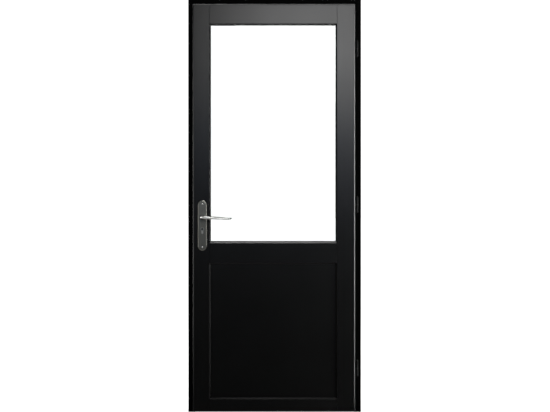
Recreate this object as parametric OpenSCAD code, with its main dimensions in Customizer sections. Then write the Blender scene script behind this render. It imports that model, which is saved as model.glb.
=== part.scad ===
// Half-glazed timber door in its frame, with threshold, mortise lock, lever set and barrel hinges.
// Millimetres. The front faces -Y: the hinge barrels stand there, and the leaf opens that way. +Z is up.
// The origin is on the floor, midway between the frame's sides and in the middle plane of the leaf.

/* [Frame] */
// Overall width of the frame
frame_w = 900; // [800:5:1100]
// Overall height of the frame
frame_h = 2150; // [1950:10:2400]
// Depth of the frame members, front to back
frame_d = 62; // [54:1:80]
// Thickness of a jamb at its rebate
jamb_t = 36; // [32:0.5:50]
// Thickness of the head at its rebate
head_t = 35.5; // [32:0.5:50]
// How far the stop stands in from the rebate
stop_t = 12; // [10:0.5:16]
// Clear space between the leaf's back and the stop, where the seal sits
stop_gap = 2; // [1.5:0.1:3]
// Small chamfer along the frame's corners
frame_chamfer = 1.5; // [0.5:0.1:3]
// Thickness of the threshold plate
threshold_t = 5; // [4:0.5:6]

/* [Leaf] */
// Thickness of the leaf
leaf_t = 50; // [46:1:60]
// Thickness of the lip that laps over the frame
lip_t = 18; // [16:0.5:22]
// Lap of the lip over the lock jamb
lock_lap = 11; // [8:0.5:16]
// Lap of the lip over the hinge jamb
hinge_lap = 5; // [4:0.5:9]
// Lap of the lip over the head
head_lap = 8.5; // [6:0.5:14]
// Clear space between the lip and the frame's front
lip_gap = 1; // [0.5:0.1:2]
// Clear space between the leaf's edges and the rebate
edge_gap = 3.5; // [3:0.5:5]
// Clear space between the leaf and the threshold
floor_gap = 3; // [2:0.5:5]
// Radius of the rounded front edge of the leaf
arris_r = 7; // [3:0.5:9]
// Face width of the lock stile
lock_stile_w = 85.5; // [82:0.5:110]
// Face width of the hinge stile
hinge_stile_w = 94.5; // [80:0.5:120]
// Face height of the top rail
top_rail_h = 102; // [80:1:140]
// Height of the middle rail's lower edge above the floor
mid_rail_z = 778; // [640:1:790]
// Face height of the middle rail
mid_rail_h = 102; // [90:1:130]
// Face height of the bottom rail
bottom_rail_h = 62; // [54:1:90]
// Width of the bevel around the openings
bevel_w = 7; // [4:0.5:9]
// Width of the bevel on the sill of the glazed opening
sill_bevel_w = 11; // [7:0.5:13]
// Depth of the bevels
bevel_d = 10; // [6:0.5:11]
// Width of the V-groove along the joints of stiles and rails
joint_v = 2; // [1:0.1:3]
// Thickness of the tenons
tenon_t = 16; // [12:0.5:18]
// Length of the tenons
tenon_l = 45; // [30:1:52]
// Thickness of the lower panel
panel_t = 26; // [18:1:28]
// Thickness of the tongue around the lower panel
tongue_t = 12; // [8:0.5:14]
// How far the tongue enters its groove
tongue_l = 9.5; // [6:0.5:12]

/* [Glazing] */
// Thickness of one pane
pane_t = 4; // [3:0.5:5]
// Width of the space between the panes
cavity_t = 16; // [12:1:18]
// Depth of the glazing rebate, from the sight line
rebate_w = 16; // [14:0.5:18]
// Cover of the glass edge behind the sight line
glass_cover = 13; // [11:0.5:15]
// Thickness of the glazing tape
tape_t = 1; // [0.8:0.1:2]

/* [Lock] */
// Distance from the leaf's edge to the spindle
backset = 35.5; // [34:0.5:36]
// Height of the spindle above the floor
spindle_z = 1015; // [1000:1:1040]
// Distance from the spindle down to the cylinder's centre
lock_centres = 62; // [62:1:72]
// Distance of the lock's middle plane from the leaf's middle plane
lock_y = 8; // [6:0.5:9]
// Thickness of the lock case
case_t = 15; // [14:0.5:16]
// Depth of the lock case
case_d = 55; // [53:0.5:55.5]
// Thickness of the faceplate
faceplate_t = 3; // [2:0.5:4]
// Height of the faceplate
faceplate_h = 235; // [220:1:260]
// Travel of the latch bolt
latch_travel = 12; // [10:0.5:12.5]
// Travel of the deadbolt
bolt_travel = 20; // [14:0.5:20]

/* [Handles] */
// Distance from the leaf's edge to the near side of the long plates
plate_inset = 11.5; // [11:0.5:14]
// Height of the long plates
plate_h = 260; // [250:1:280]
// Thickness of the long plates
plate_t = 8; // [7:0.5:10]
// Width of the rounded edge of the long plates
plate_edge = 6; // [3:0.5:8]
// Distance between the two plate bolts
bolt_pitch = 223; // [210:1:232]
// Reach of a lever from the spindle to its tip
lever_reach = 152; // [120:1:165]
// How far a lever stands out from the leaf
lever_out = 60; // [50:1:70]
// How far the lever's tip hangs below the spindle
lever_drop = 8; // [0:0.5:12]
// Radius of the lever's neck
neck_r = 9; // [8:0.5:10]

/* [Hinges] */
// Radius of the hinge barrels
barrel_r = 7; // [6:0.5:7.5]
// Length of one half of a barrel
barrel_l = 42; // [30:1:60]
// Radius of the hinge pin
pin_r = 3.5; // [3:0.25:4]
// Height of the lowest hinge's middle above the floor
hinge_low = 230; // [200:5:300]
// Distance of the middle hinge below the frame's top
hinge_mid_drop = 1070; // [800:5:1100]
// Distance of the highest hinge below the frame's top
hinge_top_drop = 260; // [200:5:300]

/* [Hidden] */
$fn = 48;

lacquer = [0.05, 0.05, 0.055];
nickel = [0.55, 0.55, 0.53];
steel = [0.7, 0.7, 0.72];
brass = [0.78, 0.66, 0.38];
aluminium = [0.75, 0.75, 0.76];
rubber = [0.06, 0.06, 0.06];
nylon = [0.12, 0.12, 0.12];
glass = [0.85, 0.93, 0.92, 0.35];

over = 1;        // how far a cut runs past a face
wood_fit = 0.2;  // clearance around a tenon and around what is let into timber
metal_fit = 0.1; // clearance around what stands in metal
running = 0.05;  // radial clearance of what turns

// planes of the leaf and the frame, front to back
leaf_front = -leaf_t / 2;
leaf_back = leaf_t / 2;
lip_back = leaf_front + lip_t;
frame_front = lip_back + lip_gap;
frame_back = frame_front + frame_d;
stop_front = leaf_back + stop_gap;

// the frame's opening
side_x = frame_w / 2;
rebate_x = side_x - jamb_t;
stop_x = rebate_x - stop_t;
rebate_z = frame_h - head_t;
stop_z = rebate_z - stop_t;

// the leaf's outline
leaf_x = rebate_x - edge_gap;
lock_lip_x = -rebate_x - lock_lap;
hinge_lip_x = rebate_x + hinge_lap;
leaf_z0 = threshold_t + floor_gap;
leaf_z1 = rebate_z - edge_gap;
lip_z1 = rebate_z + head_lap;

// edges of the two openings on the leaf's faces, and their sight lines
open_x0 = lock_lip_x + lock_stile_w;
open_x1 = hinge_lip_x - hinge_stile_w;
glass_z0 = mid_rail_z + mid_rail_h;
glass_z1 = lip_z1 - top_rail_h;
panel_z0 = leaf_z0 + bottom_rail_h;
panel_z1 = mid_rail_z;
sight_x0 = open_x0 + bevel_w;
sight_x1 = open_x1 - bevel_w;
glass_sight_z0 = glass_z0 + sill_bevel_w;
glass_sight_z1 = glass_z1 - bevel_w;
panel_sight_z0 = panel_z0 + bevel_w;
panel_sight_z1 = panel_z1 - bevel_w;

// glazing, front to back
unit_y = cavity_t / 2 + pane_t;
cover_back = -unit_y - tape_t;
bead_y0 = unit_y + tape_t;
spacer_w = 7;
sealant_w = 3;
pin_wire_r = 0.9;
bead_pin_l = 22;

// tenon heights: [lowest, highest]
tenon_shoulder = 10;
top_tenon = [glass_sight_z1 + rebate_w + tenon_shoulder, leaf_z1 - tenon_shoulder - 6];
mid_tenon = [mid_rail_z + 8, mid_rail_z + 58];
bottom_tenon = [leaf_z0 + tenon_shoulder, panel_z0 - tenon_shoulder - 2];

// the lock, from the leaf's edge inwards
edge_x = -leaf_x;
spindle_x = edge_x + backset;
cylinder_z = spindle_z - lock_centres;
case_x0 = edge_x + faceplate_t;
case_x1 = case_x0 + case_d;
case_y0 = lock_y - case_t / 2;
case_y1 = lock_y + case_t / 2;
case_wall = 1.2;
case_z0 = cylinder_z - 35;
case_z1 = spindle_z + 53;
faceplate_w = 20;
faceplate_z = (case_z0 + case_z1) / 2;
follower_r = 9;
follower_flange_r = 11;
arm_len = 20;       // follower's centre to the tip of its arm
arm_w = 6;
arm_lean = 20;      // degrees that the arm leans towards the leaf's edge at rest
latch_t = 12;
latch_h = 22;
latch_z = spindle_z + 23.5;
latch_back_gap = 1.5;   // from the latch head's back end to the spindle's centre, drawn out
latch_head_l = backset - latch_back_gap;
hook_rise = 15;     // spindle's centre to the hook's lower end
hook_gap = 0.3;     // clear space between the arm and the hook at rest
hook_z0 = spindle_z + hook_rise;
hook_x = spindle_x - hook_rise * tan(arm_lean) + arm_w / 2 / cos(arm_lean) + hook_gap;
hook_w = 6;
tail_z0 = spindle_z + arm_len + 2;
tail_t = 6;
bolt_h = 20;
bolt_z = cylinder_z + 26.5;
bolt_head_l = 23.5;
bolt_tail_l = 31;
guide_r = 1.5;
guide_x = edge_x + bolt_head_l + 5;
profile_r = 8.5;
profile_leg_w = 10;
profile_leg = 24.5;
profile_leg_bevel = 2.5;
profile_fit = 0.3;
cylinder_half = leaf_t / 2 + plate_t + 3;
plug_r = 6.5;
cam_r = 14.5;
cam_w = 8;
cam_t = 10;
cylinder_screw_z = cylinder_z - 19.8;

// the strike, in the rebate face of the lock jamb
strike_t = 2;
strike_w = 22;
strike_h = 155;
strike_z = (latch_z + bolt_z) / 2;
strike_depth = bolt_travel + 3.5;

// screws: shank radius, head radius
screw_small = [1.5, 2.8];
screw_mid = [2, 3.9];
screw_large = [3, 5.8];
cover_screw_l = 8;
faceplate_screw_l = 30;
strike_screw_l = 35;
frame_screw_l = 90;
bolt_r = 2.5;
bolt_head_r = 4.8;
bolt_head_h = 2.6;
sleeve_r = 3.5;

// handles
plate_w = 2 * (backset - plate_inset);
plate_z = cylinder_z + 18.8;
plate_y = leaf_t / 2 + plate_t;
bush_wall = 2;
spindle_w = 8;
lever_y = leaf_t / 2 + lever_out;

// hinges
hinge_heights = [hinge_low, frame_h - hinge_mid_drop, frame_h - hinge_top_drop];
hinge_x = hinge_lip_x + 2 + barrel_r;
hinge_y = frame_front - 3 - barrel_r;
washer_t = 1;
stud_r = 4;
stud_dz = barrel_l / 4;

// frame fixings
fixing_r = 4;
fixing_sink_r = 8;
fixing_sink = 10;
fixing_y = (frame_front + stop_front) / 2;
fixing_low = 120;
fixing_top_drop = 170;
fixing_step = (frame_h - fixing_top_drop - fixing_low) / 3;
fixing_heights = [for (i = [0:3]) fixing_low + i * fixing_step];
threshold_fixing_x = [-frame_w / 3, frame_w / 3];
threshold_fixing_y = [10, 42];

seal_w = 3;
seal_depth = 5;
seal_x = rebate_x - 6;
seal_z = rebate_z - 6;
bottom_seal_y = lock_y;
bottom_seal_w = 4;
bottom_seal_up = 6;

function arc(cx, cy, r, from, to, n = 8) =
    [for (i = [0:n]) [cx + r * cos(from + (to - from) * i / n), cy + r * sin(from + (to - from) * i / n)]];

// ---- helpers ----

module block(x, y, z) translate([x[0], y[0], z[0]]) cube([x[1] - x[0], y[1] - y[0], z[1] - z[0]]);

// 2D shapes in (y, z), (x, z) and (x, y), drawn out along X, Y and Z
module along_x(x0, x1) translate([x0, 0, 0]) rotate([90, 0, 90]) linear_extrude(x1 - x0) children();
module along_y(y0, y1) translate([0, y1, 0]) rotate([90, 0, 0]) linear_extrude(y1 - y0) children();
module along_z(z0, z1) translate([0, 0, z0]) linear_extrude(z1 - z0) children();

module rod_x(y, z, r, x) translate([x[0], y, z]) rotate([0, 90, 0]) cylinder(r = r, h = x[1] - x[0]);
module rod_y(x, z, r, y) translate([x, y[0], z]) rotate([-90, 0, 0]) cylinder(r = r, h = y[1] - y[0]);
module rod_z(x, y, r, z) translate([x, y, z[0]]) cylinder(r = r, h = z[1] - z[0]);

// turns a shape that points along +Z so that it points along +X, -X, or the front or back
module to_right(at) translate(at) rotate([0, 90, 0]) children();
module to_left(at) translate(at) rotate([0, -90, 0]) children();
module to_back(at) translate(at) rotate([-90, 0, 0]) children();

// chamfer along an edge
module chamfer_z(x, y, c, z) translate([x, y, z[0]]) linear_extrude(z[1] - z[0]) rotate(45)
    square(c * sqrt(2), center = true);
module chamfer_x(y, z, c, x) translate([x[0], y, z]) rotate([90, 0, 90]) linear_extrude(x[1] - x[0])
    rotate(45) square(c * sqrt(2), center = true);

// countersunk screw along +Z with the face of its head at z = 0; size is [shank radius, head radius]
module screw(size, l) difference() {
    rotate_extrude() polygon([[0, 0], [size[1], 0], [size[0], size[1] - size[0]], [size[0], l - 2 * size[0]],
        [0, l]]);
    for (turn = [0, 90]) rotate(turn) translate([-size[1] * 0.6, -size[0] * 0.18, -over])
        cube([size[1] * 1.2, size[0] * 0.36, over + size[0] * 0.8]);
}

module screw_hole(size, l, fit) rotate_extrude() polygon([[0, -over], [size[1] + fit, -over],
    [size[1] + fit, 0], [size[0] + fit, size[1] - size[0]], [size[0] + fit, l + fit], [0, l + fit]]);

// ---- frame ----

module frame_screw_places() for (side = [-1, 1], y = [frame_front + 14, frame_back - 16])
    translate([0, y, (rebate_z + frame_h) / 2]) rotate([0, -side * 90, 0]) translate([0, 0, -side_x])
        children();

// the jamb on the lock side; the hinge jamb is its mirror image before it is drilled
module jamb() difference() {
    block([-side_x, -stop_x], [frame_front, frame_back], [0, frame_h]);
    block([-rebate_x, -stop_x + over], [frame_front - over, stop_front], [-over, rebate_z]);
    block([-seal_x - seal_w / 2, -seal_x + seal_w / 2], [stop_front - over, stop_front + seal_depth],
        [-over, rebate_z]);
    chamfer_z(-side_x, frame_front, frame_chamfer, [-over, frame_h + over]);
    chamfer_z(-rebate_x, frame_front, frame_chamfer, [-over, rebate_z]);
    chamfer_z(-stop_x, frame_back, frame_chamfer, [-over, stop_z]);
    chamfer_z(-side_x, frame_back, frame_chamfer, [-over, frame_h + over]);
    for (z = fixing_heights) {
        rod_x(fixing_y, z, fixing_r, [-side_x - over, -rebate_x + over]);
        rod_x(fixing_y, z, fixing_sink_r, [-rebate_x - fixing_sink, -rebate_x + over]);
    }
    frame_screw_places() screw_hole(screw_large, frame_screw_l, metal_fit);
}

module lock_jamb() color(lacquer) difference() {
    jamb();
    block([-rebate_x - strike_t, -rebate_x + over],
        [lock_y - strike_w / 2 - wood_fit, lock_y + strike_w / 2 + wood_fit],
        [strike_z - strike_h / 2 - wood_fit, strike_z + strike_h / 2 + wood_fit]);
    strike_pocket(latch_z, latch_h, strike_depth);
    strike_pocket(bolt_z, bolt_h, strike_depth);
    strike_screw_places() screw_hole(screw_mid, strike_screw_l, metal_fit);
}

// hole for a bolt of height h behind the strike plate
module strike_pocket(z, h, depth) block([-rebate_x - depth, -rebate_x + over],
    [lock_y - latch_t / 2 - 1.5, lock_y + latch_t / 2 + 1.5], [z - h / 2 - 2, z + h / 2 + 2]);

module hinge_jamb() color(lacquer) difference() {
    mirror([1, 0, 0]) jamb();
    for (z = hinge_heights) frame_studs(z, stud_r + metal_fit, 1);
}

module frame_head() color(lacquer) difference() {
    block([-stop_x, stop_x], [frame_front, frame_back], [stop_z, frame_h]);
    block([-stop_x - over, stop_x + over], [frame_front - over, stop_front], [stop_z - over, rebate_z]);
    block([-stop_x - over, stop_x + over], [stop_front - over, stop_front + seal_depth],
        [seal_z - seal_w / 2, seal_z + seal_w / 2]);
    chamfer_x(frame_front, frame_h, frame_chamfer, [-stop_x - over, stop_x + over]);
    chamfer_x(frame_front, rebate_z, frame_chamfer, [-stop_x - over, stop_x + over]);
    chamfer_x(frame_back, stop_z, frame_chamfer, [-stop_x - over, stop_x + over]);
    chamfer_x(frame_back, frame_h, frame_chamfer, [-stop_x - over, stop_x + over]);
    frame_screw_places() screw_hole(screw_large, frame_screw_l, metal_fit);
}

module frame_screws() color(steel) frame_screw_places() screw(screw_large, frame_screw_l);

module threshold() color(aluminium) difference() {
    union() {
        block([-rebate_x + wood_fit, rebate_x - wood_fit], [frame_front, stop_front - wood_fit],
            [0, threshold_t]);
        block([-stop_x + wood_fit, stop_x - wood_fit], [stop_front - wood_fit, frame_back], [0, threshold_t]);
    }
    chamfer_x(frame_front, threshold_t, 2, [-side_x, side_x]);
    chamfer_x(frame_back, threshold_t, 2, [-side_x, side_x]);
    for (i = [0:3]) block([-side_x, side_x], [stop_front + 3 + 5 * i, stop_front + 5 + 5 * i],
        [threshold_t - 0.8, threshold_t + over]);
    block([-side_x, side_x], [lock_y - 14, lock_y - 10], [-over, threshold_t - 2.5]);
    for (x = threshold_fixing_x, y = threshold_fixing_y) {
        rod_z(x, y, 2.5, [-over, threshold_t + over]);
        translate([x, y, threshold_t - 2.5]) cylinder(r1 = 2.5, r2 = 5.5, h = 3);
    }
}

// seal with its stem in the groove and its flat bulb against the leaf, in (x, y)
module seal_section() {
    translate([-seal_w / 2 + 0.1, -0.4]) square([seal_w - 0.2, seal_depth]);
    polygon([[-3, 0], [-2.4, 0.4 - stop_gap], [2.4, 0.4 - stop_gap], [3, 0]]);
}

module frame_seal_lock() color(rubber) translate([-seal_x, stop_front, 0])
    along_z(threshold_t, rebate_z - 0.2) seal_section();
module frame_seal_hinge() color(rubber) translate([seal_x, stop_front, 0])
    along_z(threshold_t, rebate_z - 0.2) seal_section();
module frame_seal_head() color(rubber) translate([0, stop_front, seal_z])
    rotate([0, 90, 0]) along_z(-stop_x, stop_x) seal_section();

module strike_screw_places() for (side = [-1, 1])
    to_left([-rebate_x, lock_y, strike_z + side * (strike_h / 2 - 9)]) children();

module strike_plate() color(steel) difference() {
    block([-rebate_x - strike_t, -rebate_x], [lock_y - strike_w / 2, lock_y + strike_w / 2],
        [strike_z - strike_h / 2, strike_z + strike_h / 2]);
    for (b = [[latch_z, latch_h], [bolt_z, bolt_h]])
        block([-rebate_x - strike_t - over, -rebate_x + over],
            [lock_y - latch_t / 2 - 1, lock_y + latch_t / 2 + 1],
            [b[0] - b[1] / 2 - 1.5, b[0] + b[1] / 2 + 1.5]);
    strike_screw_places() screw_hole(screw_mid, strike_screw_l, metal_fit);
}

module strike_screws() color(steel) strike_screw_places() screw(screw_mid, strike_screw_l);

// ---- leaf ----

module leaf_envelope() intersection() {
    along_z(leaf_z0, lip_z1) polygon(concat(
        arc(lock_lip_x + arris_r, leaf_front + arris_r, arris_r, 180, 270),
        arc(hinge_lip_x - arris_r, leaf_front + arris_r, arris_r, 270, 360),
        [[hinge_lip_x, lip_back], [leaf_x, lip_back], [leaf_x, leaf_back], [-leaf_x, leaf_back],
            [-leaf_x, lip_back], [lock_lip_x, lip_back]]));
    along_x(-side_x, side_x) polygon(concat(
        arc(leaf_front + arris_r, lip_z1 - arris_r, arris_r, 90, 180),
        [[leaf_front, leaf_z0], [leaf_back, leaf_z0], [leaf_back, leaf_z1], [lip_back, leaf_z1],
            [lip_back, lip_z1]]));
}

// opening with bevels on both faces: x and z give its edges on the front face, sill its front bevel below
module bevelled_opening(x, z, sill) {
    run = over / bevel_d;
    intersection() {
        along_z(z[0] - 2 * sill, z[1] + 2 * sill) polygon([
            [x[0] - run * bevel_w, leaf_front - over], [x[0] + bevel_w, leaf_front + bevel_d],
            [x[0] + bevel_w, leaf_back - bevel_d], [x[0] - run * bevel_w, leaf_back + over],
            [x[1] + run * bevel_w, leaf_back + over], [x[1] - bevel_w, leaf_back - bevel_d],
            [x[1] - bevel_w, leaf_front + bevel_d], [x[1] + run * bevel_w, leaf_front - over]]);
        along_x(x[0] - 2 * sill, x[1] + 2 * sill) polygon([
            [leaf_front - over, z[0] - run * sill], [leaf_front + bevel_d, z[0] + sill],
            [leaf_back - bevel_d, z[0] + sill], [leaf_back + over, z[0] + sill - bevel_w - run * bevel_w],
            [leaf_back + over, z[1] + run * bevel_w], [leaf_back - bevel_d, z[1] - bevel_w],
            [leaf_front + bevel_d, z[1] - bevel_w], [leaf_front - over, z[1] + run * bevel_w]]);
    }
}

module glass_opening() bevelled_opening([open_x0, open_x1], [glass_z0, glass_z1], sill_bevel_w);
module panel_opening() bevelled_opening([open_x0, open_x1], [panel_z0, panel_z1], bevel_w);

// slab over the glazed opening that stands out past its sight line by a margin
module glass_slab(margin, y) block([sight_x0 - margin, sight_x1 + margin], y,
    [glass_sight_z0 - margin, glass_sight_z1 + margin]);

// flat ring around the glazed opening, between two margins
module glass_ring(outer, inner, y) difference() {
    glass_slab(outer, y);
    glass_slab(inner, [y[0] - over, y[1] + over]);
}

module joint_groove(x, z) for (y = [leaf_front, leaf_back]) chamfer_z(x, y, joint_v / 2, z);

module leaf_cuts() {
    glass_opening();
    glass_slab(rebate_w, [cover_back, leaf_back + over]);
    panel_opening();
    block([sight_x0 - tongue_l - 1, sight_x1 + tongue_l + 1],
        [-tongue_t / 2 - metal_fit, tongue_t / 2 + metal_fit],
        [panel_sight_z0 - tongue_l - 1, panel_sight_z1 + tongue_l + 1]);
    block([-side_x, side_x],
        [bottom_seal_y - bottom_seal_w / 2 - metal_fit, bottom_seal_y + bottom_seal_w / 2 + metal_fit],
        [leaf_z0 - over, leaf_z0 + bottom_seal_up]);
    bead_pin_places() cylinder(r = pin_wire_r + running, h = bead_pin_l + 2);
    for (x = [open_x0, open_x1]) {
        joint_groove(x, [glass_z1, lip_z1 + over]);
        joint_groove(x, [panel_z1, glass_z0]);
        joint_groove(x, [leaf_z0 - over, panel_z0]);
    }
}

// a member is the part of the leaf inside an outline in (x, z)
module member(outline) difference() {
    intersection() {
        leaf_envelope();
        along_y(leaf_front - over, leaf_back + over) polygon(outline);
    }
    leaf_cuts();
}

// tenons or, with a fit, their mortises, at both ends of a rail or at one
module tenon(z, sides, fit) for (side = sides)
    block(side < 0 ? [open_x0 - tenon_l - 5 * fit, open_x0 + over]
            : [open_x1 - over, open_x1 + tenon_l + 5 * fit],
        [-tenon_t / 2 - fit, tenon_t / 2 + fit], [z[0] - fit, z[1] + fit]);

// outline of a stile from the side at x out, past the face edge at open and the sight line
module stile(out, open, sight) member([[out, leaf_z0 - over], [open, leaf_z0 - over], [open, panel_z0],
    [sight, panel_sight_z0], [sight, panel_sight_z1], [open, panel_z1], [open, glass_z0],
    [sight, glass_sight_z0], [sight, glass_sight_z1], [open, glass_z1], [open, lip_z1 + over],
    [out, lip_z1 + over]]);

module lock_stile() color(lacquer) difference() {
    stile(-side_x, open_x0, sight_x0);
    for (z = [top_tenon, mid_tenon, bottom_tenon]) tenon(z, [-1], wood_fit);
    block([edge_x - over, case_x0], [lock_y - faceplate_w / 2 - wood_fit, lock_y + faceplate_w / 2 + wood_fit],
        [faceplate_z - faceplate_h / 2 - wood_fit, faceplate_z + faceplate_h / 2 + wood_fit]);
    block([case_x0 - over, case_x1 + 0.5], [case_y0 - 0.5, case_y1 + 0.5], [case_z0 - 0.5, case_z1 + 0.5]);
    rod_y(spindle_x, spindle_z, 11, [leaf_front - over, leaf_back + over]);
    profile_cylinder(1, [leaf_front - over, leaf_back + over]);
    for (z = plate_bolt_z()) rod_y(spindle_x, z, sleeve_r + wood_fit, [leaf_front - over, leaf_back + over]);
    faceplate_screw_places() screw_hole(screw_mid, faceplate_screw_l, metal_fit);
}

module hinge_stile() color(lacquer) difference() {
    stile(side_x, open_x1, sight_x1);
    for (z = [top_tenon, mid_tenon, bottom_tenon]) tenon(z, [1], wood_fit);
    for (z = hinge_heights) leaf_studs(z, stud_r + metal_fit, 1);
}

module top_rail() color(lacquer) {
    member([[open_x0, lip_z1 + over], [open_x0, glass_z1], [sight_x0, glass_sight_z1],
        [sight_x1, glass_sight_z1], [open_x1, glass_z1], [open_x1, lip_z1 + over]]);
    tenon_pair(top_tenon);
}

module mid_rail() color(lacquer) {
    member([[open_x0, glass_z0], [sight_x0, glass_sight_z0], [sight_x1, glass_sight_z0], [open_x1, glass_z0],
        [open_x1, panel_z1], [sight_x1, panel_sight_z1], [sight_x0, panel_sight_z1], [open_x0, panel_z1]]);
    tenon_pair(mid_tenon);
}

module bottom_rail() color(lacquer) {
    member([[open_x0, leaf_z0 - over], [open_x1, leaf_z0 - over], [open_x1, panel_z0],
        [sight_x1, panel_sight_z0], [sight_x0, panel_sight_z0], [open_x0, panel_z0]]);
    tenon_pair(bottom_tenon);
}

module tenon_pair(z) tenon(z, [-1, 1], 0);

module lower_panel() color(lacquer) {
    block([sight_x0 + 1, sight_x1 - 1], [-panel_t / 2, panel_t / 2], [panel_sight_z0 + 1, panel_sight_z1 - 1]);
    block([sight_x0 - tongue_l, sight_x1 + tongue_l], [-tongue_t / 2, tongue_t / 2],
        [panel_sight_z0 - tongue_l, panel_sight_z1 + tongue_l]);
}

module pane_front() color(glass) glass_slab(glass_cover, [-unit_y, -cavity_t / 2]);
module pane_back() color(glass) glass_slab(glass_cover, [cavity_t / 2, unit_y]);
module spacer_frame() color(aluminium)
    glass_ring(glass_cover - sealant_w, glass_cover - sealant_w - spacer_w, [-cavity_t / 2, cavity_t / 2]);
module edge_sealant() color(rubber)
    glass_ring(glass_cover, glass_cover - sealant_w, [-cavity_t / 2, cavity_t / 2]);
module glazing_tape_front() color(rubber) glass_ring(glass_cover, 1, [cover_back, -unit_y]);
module glazing_tape_back() color(rubber) glass_ring(glass_cover, 1, [unit_y, bead_y0]);

module setting_blocks() color(nylon) for (x = [0.25, 0.75])
    translate([sight_x0 + x * (sight_x1 - sight_x0), 0, 0])
        block([-40, 40], [-unit_y, unit_y], [glass_sight_z0 - rebate_w, glass_sight_z0 - glass_cover]);

// pins through the beads, along +Z of each place, started under the bevel
module bead_pin_places() {
    y = bead_y0 + 4;
    start = (y - (leaf_back - bevel_d)) * bevel_w / bevel_d + 1;
    for (part = [0.125, 0.375, 0.625, 0.875]) {
        x = sight_x0 + part * (sight_x1 - sight_x0);
        z = glass_sight_z0 + part * (glass_sight_z1 - glass_sight_z0);
        to_left([sight_x0 - start, y, z]) children();
        to_right([sight_x1 + start, y, z]) children();
        translate([x, y, glass_sight_z1 + start]) children();
        translate([x, y, glass_sight_z0 - start]) rotate([180, 0, 0]) children();
    }
}

module bead_pins() color(steel) bead_pin_places() cylinder(r = pin_wire_r, h = bead_pin_l);

// mitred bead inside an outline in (x, z)
module bead(outline) color(lacquer) difference() {
    intersection() {
        glass_ring(rebate_w - wood_fit, 0, [bead_y0, leaf_back]);
        along_y(bead_y0 - over, leaf_back + over) polygon(outline);
    }
    glass_opening();
    bead_pin_places() cylinder(r = pin_wire_r + running, h = bead_pin_l + 2);
}

// corners of the rebate and a point on each mitre inside it
bead_out = [[sight_x0 - rebate_w, glass_sight_z0 - rebate_w], [sight_x1 + rebate_w, glass_sight_z0 - rebate_w],
    [sight_x1 + rebate_w, glass_sight_z1 + rebate_w], [sight_x0 - rebate_w, glass_sight_z1 + rebate_w]];
bead_in = [[sight_x0 + 10, glass_sight_z0 + 10], [sight_x1 - 10, glass_sight_z0 + 10],
    [sight_x1 - 10, glass_sight_z1 - 10], [sight_x0 + 10, glass_sight_z1 - 10]];

module bead_bottom() bead([bead_out[0], bead_out[1], bead_in[1], bead_in[0]]);
module bead_hinge_side() bead([bead_out[1], bead_out[2], bead_in[2], bead_in[1]]);
module bead_top() bead([bead_out[2], bead_out[3], bead_in[3], bead_in[2]]);
module bead_lock_side() bead([bead_out[3], bead_out[0], bead_in[0], bead_in[3]]);

module bottom_seal() color(rubber) {
    block([-leaf_x + 2, leaf_x - 2], [bottom_seal_y - bottom_seal_w / 2, bottom_seal_y + bottom_seal_w / 2],
        [leaf_z0, leaf_z0 + bottom_seal_up]);
    block([-leaf_x + 2, leaf_x - 2], [bottom_seal_y - 1, bottom_seal_y + 1], [threshold_t + 0.4, leaf_z0]);
}

// ---- lock ----

// profile cylinder between two depths: a round body and the leg under it, with a clearance
module profile_cylinder(fit, y) {
    half = profile_leg_w / 2 + fit;
    tip = half - profile_leg_bevel;
    rod_y(spindle_x, cylinder_z, profile_r + fit, y);
    along_y(y[0], y[1]) translate([spindle_x, cylinder_z]) polygon([[-half, 0], [half, 0],
        [half, profile_leg_bevel - profile_leg - fit], [tip, -profile_leg - fit], [-tip, -profile_leg - fit],
        [-half, profile_leg_bevel - profile_leg - fit]]);
}

cover_screw_points = [[case_x0 + 7, case_z0 + 6], [case_x1 - 7, case_z0 + 6], [case_x1 - 7, bolt_z + 18],
    [case_x1 - 7, case_z1 - 6], [case_x0 + 7, case_z1 - 6]];

module lock_case_holes(wall_fit) {
    rod_y(spindle_x, spindle_z, follower_r + wall_fit, [case_y0 - over, case_y1 + over]);
    profile_cylinder(profile_fit, [case_y0 - over, case_y1 + over]);
}

module lock_case() color(steel) difference() {
    union() {
        difference() {
            block([case_x0, case_x1], [case_y0, case_y1 - case_wall], [case_z0, case_z1]);
            block([case_x0 + case_wall, case_x1 - case_wall], [case_y0 + case_wall, case_y1],
                [case_z0 + case_wall, case_z1 - case_wall]);
        }
        for (p = cover_screw_points) rod_y(p[0], p[1], 3.5, [case_y0, case_y1 - case_wall]);
        rod_y(guide_x, bolt_z, guide_r, [case_y0, case_y1 - case_wall]);
    }
    lock_case_holes(running);
    bolt_window(latch_z, latch_h);
    bolt_window(bolt_z, bolt_h);
    rod_x(lock_y, cylinder_screw_z, bolt_r + 0.3, [case_x0 - over, case_x0 + case_wall + over]);
    for (p = cover_screw_points) rod_y(p[0], p[1], screw_small[0] + metal_fit, [case_y1 - 10, case_y1]);
}

// opening for a bolt of height h through the faceplate and the case's front wall
module bolt_window(z, h) block([edge_x - over, case_x0 + case_wall + over],
    [lock_y - latch_t / 2 - 0.3, lock_y + latch_t / 2 + 0.3], [z - h / 2 - 0.3, z + h / 2 + 0.3]);

module cover_screw_places() for (p = cover_screw_points)
    translate([p[0], case_y1, p[1]]) rotate([90, 0, 0]) children();

module lock_cover() color(steel) difference() {
    block([case_x0, case_x1], [case_y1 - case_wall, case_y1], [case_z0, case_z1]);
    lock_case_holes(running);
    cover_screw_places() screw_hole(screw_small, cover_screw_l, metal_fit);
}

module cover_screws() color(steel) cover_screw_places() screw(screw_small, cover_screw_l);

module faceplate_screw_places() for (side = [-1, 1])
    to_right([edge_x, lock_y, faceplate_z + side * (faceplate_h / 2 - 9)]) children();

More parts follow.
